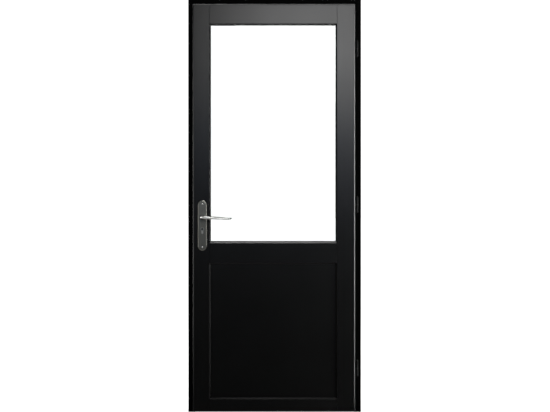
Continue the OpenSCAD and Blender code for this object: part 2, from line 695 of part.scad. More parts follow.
module faceplate() color(steel) difference() {
    block([edge_x, case_x0], [lock_y - faceplate_w / 2, lock_y + faceplate_w / 2],
        [faceplate_z - faceplate_h / 2, faceplate_z + faceplate_h / 2]);
    bolt_window(latch_z, latch_h);
    bolt_window(bolt_z, bolt_h);
    faceplate_screw_places() screw_hole(screw_mid, faceplate_screw_l, metal_fit);
    to_right([edge_x, lock_y, cylinder_screw_z]) screw_hole([bolt_r, 4.5], 20, metal_fit);
}

module faceplate_screws() color(steel) faceplate_screw_places() screw(screw_mid, faceplate_screw_l);

module cylinder_body() color(nickel) difference() {
    profile_cylinder(0, [-cylinder_half, cylinder_half]);
    rod_y(spindle_x, cylinder_z, plug_r + running, [-cylinder_half - over, cylinder_half + over]);
    block([spindle_x - 20, spindle_x + 20], [lock_y - cam_t / 2, lock_y + cam_t / 2],
        [cylinder_z - cam_r - 0.5, cylinder_z + 20]);
    rod_x(lock_y, cylinder_screw_z, bolt_r + metal_fit, [spindle_x - 20, spindle_x + 4]);
}

module cylinder_screw() color(steel) to_right([edge_x, lock_y, cylinder_screw_z])
    screw([bolt_r, 4.5], backset + 3);

// plug of the cylinder between two depths, with its keyway cut from the open end
module key_plug(y, key_y) color(nickel) difference() {
    rod_y(spindle_x, cylinder_z, plug_r, y);
    block([spindle_x - 1.1, spindle_x + 1.1], key_y, [cylinder_z - 4.5, cylinder_z + 4.5]);
}

module key_plug_front() key_plug([-cylinder_half - 0.4, lock_y - cam_t / 2],
    [-cylinder_half - over, -cylinder_half + 26]);
module key_plug_back() key_plug([lock_y + cam_t / 2 + 0.1, cylinder_half + 0.4],
    [cylinder_half - 15, cylinder_half + over]);

module cylinder_cam() color(steel) {
    rod_y(spindle_x, cylinder_z, plug_r + 1.4, [lock_y - cam_t / 2 + 0.1, lock_y + cam_t / 2 - 0.1]);
    block([spindle_x - cam_w / 2, spindle_x + cam_w / 2], [lock_y - cam_t / 2 + 0.1, lock_y + cam_t / 2 - 0.1],
        [cylinder_z - cam_r, cylinder_z - 4]);
    rod_y(spindle_x, cylinder_z, 3, [lock_y - cam_t / 2, lock_y + cam_t / 2]);
}

module follower() color(brass) difference() {
    union() {
        rod_y(spindle_x, spindle_z, follower_r, [case_y0, case_y1]);
        rod_y(spindle_x, spindle_z, follower_flange_r, [case_y0 + case_wall + 0.3, case_y1 - case_wall - 0.3]);
        translate([spindle_x, lock_y, spindle_z]) rotate([0, -arm_lean, 0])
            translate([-arm_w / 2, -tail_t / 2, 0]) cube([arm_w, tail_t, arm_len]);
    }
    spindle_bar(metal_fit, [case_y0 - over, case_y1 + over]);
}

module latch_bolt() color(steel) difference() {
    union() {
        block([edge_x - latch_travel, edge_x - latch_travel + latch_head_l],
            [lock_y - latch_t / 2, lock_y + latch_t / 2], [latch_z - latch_h / 2, latch_z + latch_h / 2]);
        block([edge_x - latch_travel + latch_head_l - over, hook_x + hook_w],
            [lock_y - tail_t / 2, lock_y + tail_t / 2],
            [tail_z0, latch_z + latch_h / 2]);
        block([hook_x, hook_x + hook_w], [lock_y - tail_t / 2, lock_y + tail_t / 2],
            [hook_z0, latch_z + latch_h / 2]);
    }
    // the nose's bevel faces the strike as the leaf closes
    along_z(latch_z - latch_h, latch_z + latch_h) polygon([
        [edge_x - latch_travel - over, lock_y - latch_t / 2 + 1.5],
        [edge_x - latch_travel, lock_y - latch_t / 2 + 1.5],
        [edge_x, lock_y + latch_t / 2 + 0.3], [edge_x - latch_travel - over, lock_y + latch_t / 2 + 0.3]]);
}

// compression spring between the latch's hook and the case's back wall
module latch_spring() color(steel) {
    x0 = hook_x + hook_w;
    span = case_x1 - case_wall - x0;
    wire = 0.5;
    coil = 4;
    turns = 5;
    sides = 8;
    steps = turns * 14;
    pitch = (span - 2 * wire - 0.2) / turns;
    rise = atan(pitch / (2 * PI * coil));
    rings = [for (i = [0:steps]) let (a = i * 360 * turns / steps) [for (j = [0:sides - 1])
        let (b = j * 360 / sides, out = coil + wire * cos(b), up = wire * sin(b))
        [x0 + wire + 0.1 + pitch * a / 360 + up * cos(rise),
            lock_y + out * cos(a) + up * sin(rise) * sin(a),
            latch_z + out * sin(a) - up * sin(rise) * cos(a)]]];
    points = [for (ring = rings) for (p = ring) p];
    walls = [for (i = [0:steps - 1], j = [0:sides - 1]) let (k = (j + 1) % sides)
        [i * sides + j, i * sides + k, (i + 1) * sides + k, (i + 1) * sides + j]];
    ends = [[for (j = [sides - 1:-1:0]) j], [for (j = [0:sides - 1]) steps * sides + j]];
    polyhedron(points, concat(walls, ends));
}

module deadbolt() color(steel) difference() {
    union() {
        block([edge_x, edge_x + bolt_head_l], [lock_y - latch_t / 2, lock_y + latch_t / 2],
            [bolt_z - bolt_h / 2, bolt_z + bolt_h / 2]);
        block([edge_x + bolt_head_l - over, edge_x + bolt_head_l + bolt_tail_l], [lock_y - 2, lock_y + 2],
            [bolt_z - bolt_h / 2 + 1, bolt_z + bolt_h / 2 - 1]);
    }
    block([guide_x - guide_r - 0.3, guide_x + guide_r + 0.3 + bolt_travel], [lock_y - 5, lock_y + 5],
        [bolt_z - guide_r - 0.3, bolt_z + guide_r + 0.3]);
}

// ---- handles ----

function plate_bolt_z() = [plate_z - bolt_pitch / 2, plate_z + bolt_pitch / 2];

// half outline of a plate's section, from its middle to its edge, in (distance, height)
function plate_section(r, t) = concat([[0, 0], [r, 0]],
    [for (a = [0:15:90]) [r - plate_edge + plate_edge * cos(a), t - plate_edge * 0.8 * (1 - sin(a))]],
    [[0, t]]);

// round-ended slab with a shaped edge, lying on the XZ plane and rising towards +Y
module plate_shape(r, h, t) {
    for (end = [-1, 1]) translate([spindle_x, 0, plate_z + end * (h / 2 - r)]) rotate([-90, 0, 0])
        rotate([0, 0, end > 0 ? 180 : 0]) rotate_extrude(angle = 180) polygon(plate_section(r, t));
    translate([spindle_x, 0, plate_z]) linear_extrude(h - 2 * r, center = true)
        for (side = [-1, 1]) scale([side, 1]) polygon(plate_section(r, t));
}

module plate_hollow() {
    wall = 3;
    r = plate_w / 2 - plate_edge;
    depth = plate_t - wall;
    difference() {
        translate([0, -over, 0]) union() {
            for (end = [-1, 1])
                rod_y(spindle_x, plate_z + end * (plate_h / 2 - plate_w / 2), r, [0, depth + over]);
            block([spindle_x - r, spindle_x + r], [0, depth + over],
                [plate_z - plate_h / 2 + plate_w / 2, plate_z + plate_h / 2 - plate_w / 2]);
        }
        rod_y(spindle_x, spindle_z, neck_r + bush_wall + 3, [-2 * over, plate_t]);
        for (z = plate_bolt_z()) rod_y(spindle_x, z, sleeve_r + 3, [-2 * over, plate_t]);
        block([spindle_x - profile_r - 3, spindle_x + profile_r + 3], [-2 * over, plate_t],
            [cylinder_z - profile_leg - 3, cylinder_z + profile_r + 3]);
    }
}

// plate of the back; the front one is its mirror image with smaller bolt holes
module handle_plate(hole_r) difference() {
    translate([0, leaf_back, 0]) difference() {
        plate_shape(plate_w / 2, plate_h, plate_t);
        plate_hollow();
    }
    rod_y(spindle_x, spindle_z, neck_r + bush_wall + metal_fit, [0, plate_y + over]);
    for (z = plate_bolt_z()) rod_y(spindle_x, z, hole_r, [0, plate_y + over]);
    profile_cylinder(profile_fit, [0, plate_y + over]);
}

module handle_plate_front() color(nickel) mirror([0, 1, 0]) handle_plate(bolt_r + metal_fit);
module handle_plate_back() color(nickel) handle_plate(sleeve_r + metal_fit);

// domed, slotted head that rises along +Z from its seat
module dome_head() difference() {
    rotate_extrude() polygon(concat([[0, 0], [bolt_head_r, 0]],
        [for (a = [10:10:90]) [bolt_head_r * cos(a), bolt_head_h * sin(a)]]));
    translate([-bolt_head_r, -0.5, bolt_head_h - 1.1]) cube([2 * bolt_head_r, 1, 2]);
}

module plate_bolts() color(nickel) for (z = plate_bolt_z()) {
    translate([spindle_x, -plate_y, z]) rotate([90, 0, 0]) dome_head();
    rod_y(spindle_x, z, bolt_r, [-plate_y, plate_y - 12]);
}

module sleeve_nuts() color(nickel) for (z = plate_bolt_z()) {
    to_back([spindle_x, plate_y, z]) dome_head();
    difference() {
        rod_y(spindle_x, z, sleeve_r, [-6, plate_y]);
        rod_y(spindle_x, z, bolt_r + running, [-7, plate_y - 8]);
    }
}

// bush of the back plate
module neck_bush() color(nylon) difference() {
    union() {
        rod_y(spindle_x, spindle_z, neck_r + bush_wall, [leaf_back + 1, plate_y]);
        rod_y(spindle_x, spindle_z, neck_r + bush_wall + 1.2, [plate_y, plate_y + 0.8]);
    }
    rod_y(spindle_x, spindle_z, neck_r + running, [leaf_back, plate_y + 2]);
}

module neck_bush_back() neck_bush();
module neck_bush_front() mirror([0, 1, 0]) neck_bush();

module spindle_bar(fit, y) block([spindle_x - spindle_w / 2 - fit, spindle_x + spindle_w / 2 + fit], y,
    [spindle_z - spindle_w / 2 - fit, spindle_z + spindle_w / 2 + fit]);

// stations of the lever's grip: [share of the reach, share of the drop, half height, half depth, set-back]
grip = [[0, 0, 7.6, 9, 0], [0.16, 0.12, 7.2, 9, 0], [0.36, 0.45, 6.2, 8.6, 0.6], [0.6, 0.7, 5.2, 8.2, 1.4],
    [0.8, 1.02, 4.6, 7.6, 2], [1, 1, 3.6, 6.6, 2.4]];
tip_r = 4;

module grip_bead(g) translate([spindle_x + g[0] * (lever_reach - tip_r), lever_y - grip[0][3] - g[4],
    spindle_z - g[1] * lever_drop]) scale([g[0] == 0 ? 9 : tip_r, g[3], g[2]]) sphere(1, $fn = 24);

// lever of the back; the front one is its mirror image
module lever() color(nickel) difference() {
    union() {
        translate([spindle_x, leaf_back + 0.6, spindle_z]) rotate([-90, 0, 0]) rotate_extrude()
            polygon([[0, 0], [neck_r, 0], [neck_r, plate_t + 4], [7.2, lever_out - 22],
                [7.2, lever_out - 9.6], [0, lever_out - 9.6]]);
        for (i = [0:len(grip) - 2]) hull() {
            grip_bead(grip[i]);
            grip_bead(grip[i + 1]);
        }
    }
    spindle_bar(metal_fit, [leaf_back - over, lever_y - 24]);
    rod_z(spindle_x, plate_y + 6, bolt_r + metal_fit, [spindle_z - neck_r - 3, spindle_z]);
}

module lever_back() lever();
module lever_front() mirror([0, 1, 0]) lever();

module spindle() color(steel) spindle_bar(0, [-(lever_y - 26), lever_y - 26]);

module grub_screws() color(steel) for (side = [-1, 1])
    translate([spindle_x, side * (plate_y + 6), spindle_z]) difference() {
        rod_z(0, 0, bolt_r, [-neck_r + 0.6, -spindle_w / 2]);
        translate([0, 0, -neck_r]) cylinder(r = 1.2, h = 2.6, $fn = 6);
    }

// ---- hinges ----

// half barrel from z = 0 up, with a small chamfer at its outer end
module barrel() rotate_extrude() polygon([[0, 0], [barrel_r, 0], [barrel_r, barrel_l - 2],
    [barrel_r - 2, barrel_l], [0, barrel_l]]);

module frame_studs(z, r, extra) for (side = [-1, 1])
    rod_y(hinge_x, z - barrel_l / 2 + side * stud_dz, r, [hinge_y, frame_front + 30 + extra]);
module leaf_studs(z, r, extra) for (side = [-1, 1])
    rod_x(hinge_y, z + barrel_l / 2 + side * stud_dz, r,
        [hinge_lip_x - 38 - extra, hinge_x - extra * barrel_r]);

module hinge_pin(z) color(lacquer) {
    translate([hinge_x, hinge_y, z - washer_t / 2 - metal_fit]) mirror([0, 0, 1]) barrel();
    frame_studs(z, stud_r, 0);
    rod_z(hinge_x, hinge_y, pin_r, [z - 5, z + barrel_l - 6]);
}

module hinge_leaf(z) color(lacquer) difference() {
    union() {
        translate([hinge_x, hinge_y, z + washer_t / 2 + metal_fit]) barrel();
        leaf_studs(z, stud_r, 0);
    }
    rod_z(hinge_x, hinge_y, pin_r + running, [z - 1, z + barrel_l - 5]);
}

module hinge_pin_bottom() hinge_pin(hinge_heights[0]);
module hinge_pin_middle() hinge_pin(hinge_heights[1]);
module hinge_pin_top() hinge_pin(hinge_heights[2]);
module hinge_leaf_bottom() hinge_leaf(hinge_heights[0]);
module hinge_leaf_middle() hinge_leaf(hinge_heights[1]);
module hinge_leaf_top() hinge_leaf(hinge_heights[2]);

module hinge_washers() color(nylon) for (z = hinge_heights) difference() {
    rod_z(hinge_x, hinge_y, barrel_r - 0.5, [z - washer_t / 2, z + washer_t / 2]);
    rod_z(hinge_x, hinge_y, pin_r + running, [z - over, z + over]);
}

lock_jamb();
hinge_jamb();
frame_head();
frame_screws();
threshold();
frame_seal_lock();
frame_seal_hinge();
frame_seal_head();
strike_plate();
strike_screws();
hinge_pin_bottom();
hinge_pin_middle();
hinge_pin_top();
hinge_washers();
lock_stile();
hinge_stile();
top_rail();
mid_rail();
bottom_rail();
lower_panel();
pane_front();
pane_back();
spacer_frame();
edge_sealant();
glazing_tape_front();
glazing_tape_back();
setting_blocks();
bead_top();
bead_bottom();
bead_lock_side();
bead_hinge_side();
bead_pins();
lock_case();
lock_cover();
cover_screws();
faceplate();
faceplate_screws();
cylinder_body();
cylinder_screw();
handle_plate_front();
handle_plate_back();
plate_bolts();
sleeve_nuts();
neck_bush_front();
neck_bush_back();
hinge_leaf_bottom();
hinge_leaf_middle();
hinge_leaf_top();
bottom_seal();
lever_front();
lever_back();
spindle();
grub_screws();
follower();
latch_bolt();
latch_spring();
deadbolt();
key_plug_front();
cylinder_cam();
key_plug_back();
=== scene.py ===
"""Half-glazed black door in its frame: finishes, levers and studio round the construction model."""

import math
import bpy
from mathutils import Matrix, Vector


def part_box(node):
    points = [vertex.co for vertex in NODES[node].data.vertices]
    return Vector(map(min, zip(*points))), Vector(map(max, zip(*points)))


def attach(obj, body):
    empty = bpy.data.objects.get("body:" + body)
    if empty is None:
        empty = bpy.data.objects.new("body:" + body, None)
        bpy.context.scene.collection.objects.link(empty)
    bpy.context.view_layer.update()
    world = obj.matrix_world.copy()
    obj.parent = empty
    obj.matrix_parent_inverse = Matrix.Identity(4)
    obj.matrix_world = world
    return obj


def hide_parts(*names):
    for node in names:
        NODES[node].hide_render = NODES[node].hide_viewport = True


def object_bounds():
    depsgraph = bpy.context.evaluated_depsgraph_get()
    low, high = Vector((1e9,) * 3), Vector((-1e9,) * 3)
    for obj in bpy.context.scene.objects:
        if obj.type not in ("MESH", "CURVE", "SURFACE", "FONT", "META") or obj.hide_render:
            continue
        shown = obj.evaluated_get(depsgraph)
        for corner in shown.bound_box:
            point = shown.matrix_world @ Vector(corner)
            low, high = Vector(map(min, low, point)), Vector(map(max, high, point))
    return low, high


bl_info = {
    "name": "Half-glazed door",
    "version": (1, 0, 0),
    "blender": (4, 5, 0),
    "location": "View3D > Sidebar > Door",
    "description": "Finishes a half-glazed door, builds its levers and sets up a studio",
    "category": "Object",
}

import bmesh
import bpy
from bpy.props import FloatProperty, FloatVectorProperty, IntProperty, PointerProperty
from mathutils import Vector

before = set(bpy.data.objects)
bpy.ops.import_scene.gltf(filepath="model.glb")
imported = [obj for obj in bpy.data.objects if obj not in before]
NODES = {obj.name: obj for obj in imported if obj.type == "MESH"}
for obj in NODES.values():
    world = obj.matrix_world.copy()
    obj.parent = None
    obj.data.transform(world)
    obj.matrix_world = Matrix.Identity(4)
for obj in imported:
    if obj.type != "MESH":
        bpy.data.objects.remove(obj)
CAD_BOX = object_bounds()

# timber members by the way their grain runs
FRAME_UPRIGHTS = ("lock_jamb", "hinge_jamb")
FRAME_CROSSPIECES = ("frame_head",)
LEAF_UPRIGHTS = ("lock_stile", "hinge_stile", "lower_panel", "bead_lock_side", "bead_hinge_side")
LEAF_CROSSPIECES = ("top_rail", "mid_rail", "bead_top", "bead_bottom")
SCUFFED_CROSSPIECES = ("bottom_rail",)
ALONG_Z = (620.0, 620.0, 16.0)
ALONG_X = (16.0, 620.0, 620.0)
# how fine a metal's scratches are along each axis
PLATED = (900.0, 900.0, 900.0)
BRUSHED_X = (60.0, 1500.0, 1500.0)
BRUSHED_Z = (1500.0, 1500.0, 60.0)
HINGES = tuple(f"hinge_{half}_{place}" for half in ("pin", "leaf")
               for place in ("bottom", "middle", "top"))
PLATES = ("handle_plate_front", "handle_plate_back")
BOLTS = ("plate_bolts", "sleeve_nuts")
PLUGS = ("key_plug_front", "key_plug_back")
STEEL = ("frame_screws", "strike_plate", "strike_screws", "bead_pins", "lock_case", "lock_cover",
         "cover_screws", "faceplate", "faceplate_screws", "cylinder_screw", "spindle", "grub_screws",
         "latch_bolt", "latch_spring", "deadbolt", "cylinder_cam")
RUBBER = ("frame_seal_lock", "frame_seal_hinge", "frame_seal_head", "edge_sealant",
          "glazing_tape_front", "glazing_tape_back", "bottom_seal")
NYLON = ("hinge_washers", "setting_blocks", "neck_bush_front", "neck_bush_back")


# ---- settings ----

def colour(name, description, default):
    return FloatVectorProperty(name=name, description=description, subtype="COLOR", size=3,
                               min=0.0, max=1.0, default=default)


def length(name, description, default):
    return FloatProperty(name=name, description=description, default=default, min=0.0,
                         unit="LENGTH", precision=4)


def share(name, description, default):
    return FloatProperty(name=name, description=description, default=default, min=0.0, max=1.0,
                         subtype="FACTOR")


class DoorLacquer(bpy.types.PropertyGroup):
    """Black lacquer of the timber"""
    tint: colour("Colour", "Colour of the lacquer", (0.0006, 0.0006, 0.0006))
    roughness: share("Leaf roughness", "Mean roughness of the leaf's satin lacquer", 0.31)
    scuffed_roughness: share("Scuffed roughness", "Mean roughness of the scuffed bottom rail", 0.47)
    scuffed_specular: share("Scuffed specular", "Specular level of the scuffed bottom rail", 0.22)
    frame_roughness: share("Frame roughness", "Mean roughness of the frame's matt lacquer", 0.55)
    frame_specular: share("Frame specular", "Specular level of the frame's matt lacquer", 0.015)
    frame_sheen: share("Frame sheen", "Sheen of the frame's matt lacquer seen edge on", 0.15)
    primer: colour("Primer", "Colour of the frame's primed back and wall faces", (0.03, 0.03, 0.031))
    grain: length("Grain depth", "Depth of the grain that shows through the lacquer", 0.00006)
    peel: length("Peel depth", "Depth of the sprayed skin's ripple", 0.00005)


class DoorMetal(bpy.types.PropertyGroup):
    """Metals of the lever set, the lock and the threshold"""
    nickel: colour("Nickel", "Colour of the satin nickel plates", (0.275, 0.271, 0.239))
    bright: colour("Bright nickel", "Colour of the levers and the plates' bolts", (0.74, 0.74, 0.71))
    nickel_roughness: share("Nickel roughness", "Mean roughness of the satin nickel", 0.35)
    bright_roughness: share("Bolt roughness", "Mean roughness of the plates' bolts", 0.24)
    lever_roughness: share("Lever roughness", "Mean roughness of the levers", 0.3)
    cylinder: colour("Cylinder", "Colour of the lock cylinder's body", (0.66, 0.65, 0.60))
    # the plugs' colour is darker than the cylinder's nickel: painted shade of the keyway
    plug: colour("Key plug", "Colour of the cylinder's plugs", (0.2, 0.2, 0.185))
    steel: colour("Steel", "Colour of the zinc plated steel", (0.56, 0.56, 0.58))
    aluminium: colour("Aluminium", "Colour of the panes' spacer", (0.66, 0.66, 0.67))
    threshold: colour("Threshold", "Colour of the anodised threshold", (0.07, 0.066, 0.062))
    brass: colour("Brass", "Colour of the follower", (0.72, 0.56, 0.28))


class DoorTrim(bpy.types.PropertyGroup):
    """Powder coat, rubber and nylon"""
    powder: colour("Powder coat", "Colour of the hinges' powder coat", (0.003, 0.003, 0.0032))
    powder_specular: share("Powder specular", "Specular level of the hinges' powder coat", 0.06)
    rubber: colour("Rubber", "Colour of the seals and tapes", (0.018, 0.018, 0.018))
    nylon: colour("Nylon", "Colour of the blocks, bushes and washers", (0.03, 0.03, 0.03))


class DoorLever(bpy.types.PropertyGroup):
    """Shape of the two levers"""
    rings: IntProperty(name="Rings", description="Sections along a lever", default=56, min=24, max=120)
    sides: IntProperty(name="Sides", description="Points round a section", default=32, min=12, max=64)
    neck_radius: length("Neck radius", "Radius of the neck at the plate", 0.0089)
    elbow: length("Elbow radius", "Radius of the bend between neck and grip", 0.013)
    drop: length("Tip drop", "How far the tip hangs below the spindle's centre", 0.008)
    tip_height: length("Tip height", "Half height of the grip at its tip", 0.0034)


class DoorStudio(bpy.types.PropertyGroup):
    """Floor, lights and camera"""
    floor: colour("Floor", "Colour of the floor", (0.82, 0.82, 0.81))
    key_power: FloatProperty(name="Key light", description="Power of the large soft light",
                             default=27.0, min=0.0, unit="POWER")
    top_power: FloatProperty(name="Top light", description="Power of the light above the door",
                             default=38.0, min=0.0, unit="POWER")
    side_power: FloatProperty(name="Side light", description="Power of the strip light on the right",
                              default=2.4, min=0.0, unit="POWER")
    backdrop: FloatProperty(name="Backdrop", description="Brightness of the white behind the door",
                            default=1.6, min=0.0)
    surround: colour("Surround", "What the door mirrors where there is no light", (0.035, 0.036, 0.037))
    floor_glow: FloatProperty(name="Floor glow", description="Brightness of the floor seen directly",
                              default=1.5, min=0.0)
    floor_low: FloatProperty(name="Mirrored floor, low",
                             description="Brightness of the floor mirrored at a low angle",
                             default=0.012, min=0.0)
    floor_above: FloatProperty(name="Mirrored floor, above",
                               description="Brightness of the floor mirrored from above",
                               default=0.8, min=0.0)
    distance: length("Camera distance", "Distance from the camera to the door", 6.0)
    eye: length("Eye height", "Height of the camera above the floor", 1.16)


# ---- shader helpers ----

def socket(group, name, way, kind, default=None):
    made = group.interface.new_socket(name=name, in_out=way, socket_type=kind)
    if default is not None:
        made.default_value = default
    return made


def add(tree, kind, **settings):
    node = tree.nodes.new(kind)
    for key, value in settings.items():
        setattr(node, key, value)
    return node


def maths(tree, operation, a, b):
    """A Math node whose two inputs are sockets or numbers; returns its output."""
    node = add(tree, "ShaderNodeMath", operation=operation)
    for slot, value in zip(node.inputs, (a, b)):
        if isinstance(value, (int, float)):
            slot.default_value = value
        else:
            tree.links.new(value, slot)
    return node.outputs[0]


def stretched(tree, vector, scale):
    """The coordinates multiplied by one number an axis."""
    node = add(tree, "ShaderNodeVectorMath", operation="MULTIPLY")
    tree.links.new(vector, node.inputs[0])
    if isinstance(scale, tuple):
        node.inputs[1].default_value = scale
    else:
        tree.links.new(scale, node.inputs[1])
    return node.outputs[0]


def noise(tree, vector, scale, detail=3.0, roughness=0.5):
    node = add(tree, "ShaderNodeTexNoise")
    tree.links.new(vector, node.inputs["Vector"])
    node.inputs["Scale"].default_value = scale
    node.inputs["Detail"].default_value = detail
    node.inputs["Roughness"].default_value = roughness
    return node.outputs["Fac"]


def varied(tree, base, swing, pattern):
    """base plus the pattern's distance from its middle times swing."""
    return maths(tree, "ADD", base, maths(tree, "MULTIPLY", maths(tree, "SUBTRACT", pattern, 0.5), swing))


def group_ends(group):
    return group.nodes.new("NodeGroupInput"), group.nodes.new("NodeGroupOutput")


def timber_skin():
    """Sprayed lacquer over open grain: height of the surface and its roughness."""
    group = bpy.data.node_groups.get("timber skin")
    if group:
        return group
    group = bpy.data.node_groups.new("timber skin", "ShaderNodeTree")
    socket(group, "Coordinates", "INPUT", "NodeSocketVector")
    socket(group, "Grain stretch", "INPUT", "NodeSocketVector", (1.0, 1.0, 1.0))
    socket(group, "Grain depth", "INPUT", "NodeSocketFloat", 0.0001)
    socket(group, "Peel depth", "INPUT", "NodeSocketFloat", 0.0001)
    socket(group, "Roughness", "INPUT", "NodeSocketFloat", 0.35)
    socket(group, "Height", "OUTPUT", "NodeSocketFloat")
    socket(group, "Roughness", "OUTPUT", "NodeSocketFloat")
    ends, out = group_ends(group)
    along = stretched(group, ends.outputs["Coordinates"], ends.outputs["Grain stretch"])
    pores = noise(group, along, 1.0, 4.0, 0.62)
    ripple = noise(group, ends.outputs["Coordinates"], 210.0, 2.0)
    cloud = noise(group, ends.outputs["Coordinates"], 5.0, 3.0)
    height = maths(group, "ADD", maths(group, "MULTIPLY", pores, ends.outputs["Grain depth"]),
                   maths(group, "MULTIPLY", ripple, ends.outputs["Peel depth"]))
    rough = varied(group, varied(group, ends.outputs["Roughness"], 0.05, cloud), 0.06, pores)
    group.links.new(height, out.inputs["Height"])
    group.links.new(rough, out.inputs["Roughness"])
    return group


def brushed_skin():
    """Metal brushed along one axis: height of the scratches, roughness and a light tarnish."""
    group = bpy.data.node_groups.get("brushed skin")
    if group:
        return group
    group = bpy.data.node_groups.new("brushed skin", "ShaderNodeTree")
    socket(group, "Coordinates", "INPUT", "NodeSocketVector")
    socket(group, "Brush stretch", "INPUT", "NodeSocketVector", (1.0, 1.0, 1.0))
    socket(group, "Scratch depth", "INPUT", "NodeSocketFloat", 0.00001)
    socket(group, "Roughness", "INPUT", "NodeSocketFloat", 0.3)
    socket(group, "Height", "OUTPUT", "NodeSocketFloat")
    socket(group, "Roughness", "OUTPUT", "NodeSocketFloat")
    socket(group, "Tarnish", "OUTPUT", "NodeSocketFloat")
    ends, out = group_ends(group)
    along = stretched(group, ends.outputs["Coordinates"], ends.outputs["Brush stretch"])
    lines = noise(group, along, 1.0, 5.0, 0.7)
    smears = noise(group, ends.outputs["Coordinates"], 38.0, 3.0)
    height = maths(group, "MULTIPLY", lines, ends.outputs["Scratch depth"])
    rough = varied(group, varied(group, ends.outputs["Roughness"], 0.10, lines), 0.08, smears)
    group.links.new(height, out.inputs["Height"])
    group.links.new(rough, out.inputs["Roughness"])
    group.links.new(smears, out.inputs["Tarnish"])
    return group


def pebbled_skin():
    """Fine pebbles of a moulded or powder coated surface: its height and roughness."""
    group = bpy.data.node_groups.get("pebbled skin")
    if group:
        return group
    group = bpy.data.node_groups.new("pebbled skin", "ShaderNodeTree")
    socket(group, "Coordinates", "INPUT", "NodeSocketVector")
    socket(group, "Pebble scale", "INPUT", "NodeSocketFloat", 1000.0)
    socket(group, "Pebble depth", "INPUT", "NodeSocketFloat", 0.00004)
    socket(group, "Roughness", "INPUT", "NodeSocketFloat", 0.5)
    socket(group, "Height", "OUTPUT", "NodeSocketFloat")
    socket(group, "Roughness", "OUTPUT", "NodeSocketFloat")
    ends, out = group_ends(group)
    pebbles = add(group, "ShaderNodeTexNoise")
    group.links.new(ends.outputs["Coordinates"], pebbles.inputs["Vector"])
    group.links.new(ends.outputs["Pebble scale"], pebbles.inputs["Scale"])
    pebbles.inputs["Detail"].default_value = 3.0
    pebbles.inputs["Roughness"].default_value = 0.6
    height = maths(group, "MULTIPLY", pebbles.outputs["Fac"], ends.outputs["Pebble depth"])
    rough = varied(group, ends.outputs["Roughness"], 0.12, pebbles.outputs["Fac"])
    group.links.new(height, out.inputs["Height"])
    group.links.new(rough, out.inputs["Roughness"])
    return group


def wall_faces():
    """1 on the faces of the frame that meet the wall, a part of that on its back, 0 elsewhere."""
    group = bpy.data.node_groups.get("wall faces")
    if group:
        return group
    group = bpy.data.node_groups.new("wall faces", "ShaderNodeTree")
    socket(group, "Wear", "INPUT", "NodeSocketFloat", 0.5)
    socket(group, "Back", "INPUT", "NodeSocketFloat", 0.5)
    socket(group, "Mask", "OUTPUT", "NodeSocketFloat")
    ends, out = group_ends(group)
    place = add(group, "ShaderNodeNewGeometry")
    facing = add(group, "ShaderNodeVectorMath", operation="MULTIPLY")
    group.links.new(place.outputs["Position"], facing.inputs[0])
    group.links.new(place.outputs["Normal"], facing.inputs[1])
    outward = add(group, "ShaderNodeSeparateXYZ")
    group.links.new(facing.outputs[0], outward.inputs[0])
    way = add(group, "ShaderNodeSeparateXYZ")
    group.links.new(place.outputs["Normal"], way.inputs[0])
    sides = maths(group, "MAXIMUM", outward.outputs["X"], outward.outputs["Z"])
    wall = maths(group, "GREATER_THAN", sides, 0.3)
    back = maths(group, "MULTIPLY", maths(group, "GREATER_THAN", way.outputs["Y"], 0.7),
                 ends.outputs["Back"])
    cloud = noise(group, place.outputs["Position"], 9.0, 4.0, 0.6)
    worn = maths(group, "SUBTRACT", 1.0, maths(group, "MULTIPLY", cloud, ends.outputs["Wear"]))
    group.links.new(maths(group, "MULTIPLY", maths(group, "MAXIMUM", wall, back), worn),
                    out.inputs["Mask"])
    return group


def new_material(name):
    """A material with its tree, its Principled shader and the object's own coordinates."""
    material = bpy.data.materials.new(name)
    material.use_nodes = True
    tree = material.node_tree
    shader = tree.nodes["Principled BSDF"]
    coordinates = tree.nodes.new("ShaderNodeTexCoord").outputs["Object"]
    return material, tree, shader, coordinates


def bump(tree, shader, height):
    node = tree.nodes.new("ShaderNodeBump")
    node.inputs["Strength"].default_value = 1.0
    node.inputs["Distance"].default_value = 1.0
    tree.links.new(height, node.inputs["Height"])
    tree.links.new(node.outputs["Normal"], shader.inputs["Normal"])


def lacquer(name, stretch, roughness, specular=0.5, sheen=0.0, primed=False):
    """Black lacquer; stretch is how fine the grain is along each axis; primed is for the frame."""
    look = bpy.context.scene.door_lacquer
    material, tree, shader, coordinates = new_material(name)
    skin = add(tree, "ShaderNodeGroup", node_tree=timber_skin())
    tree.links.new(coordinates, skin.inputs["Coordinates"])
    skin.inputs["Grain stretch"].default_value = stretch
    skin.inputs["Grain depth"].default_value = look.grain
    skin.inputs["Peel depth"].default_value = look.peel
    skin.inputs["Roughness"].default_value = roughness
    shader.inputs["Specular IOR Level"].default_value = specular
    shader.inputs["Sheen Weight"].default_value = sheen
    shader.inputs["Sheen Roughness"].default_value = 0.25
    shader.inputs["Base Color"].default_value = (*look.tint, 1.0)
    if primed:
        bare = add(tree, "ShaderNodeGroup", node_tree=wall_faces())
        bare.inputs["Wear"].default_value = 0.5
        bare.inputs["Back"].default_value = 0.6
        coat = add(tree, "ShaderNodeMix", data_type="RGBA")
        coat.inputs[6].default_value = (*look.tint, 1.0)
        coat.inputs[7].default_value = (*look.primer, 1.0)
        tree.links.new(bare.outputs["Mask"], coat.inputs[0])
        tree.links.new(coat.outputs[2], shader.inputs["Base Color"])
    tree.links.new(skin.outputs["Roughness"], shader.inputs["Roughness"])
    bump(tree, shader, skin.outputs["Height"])
    return material


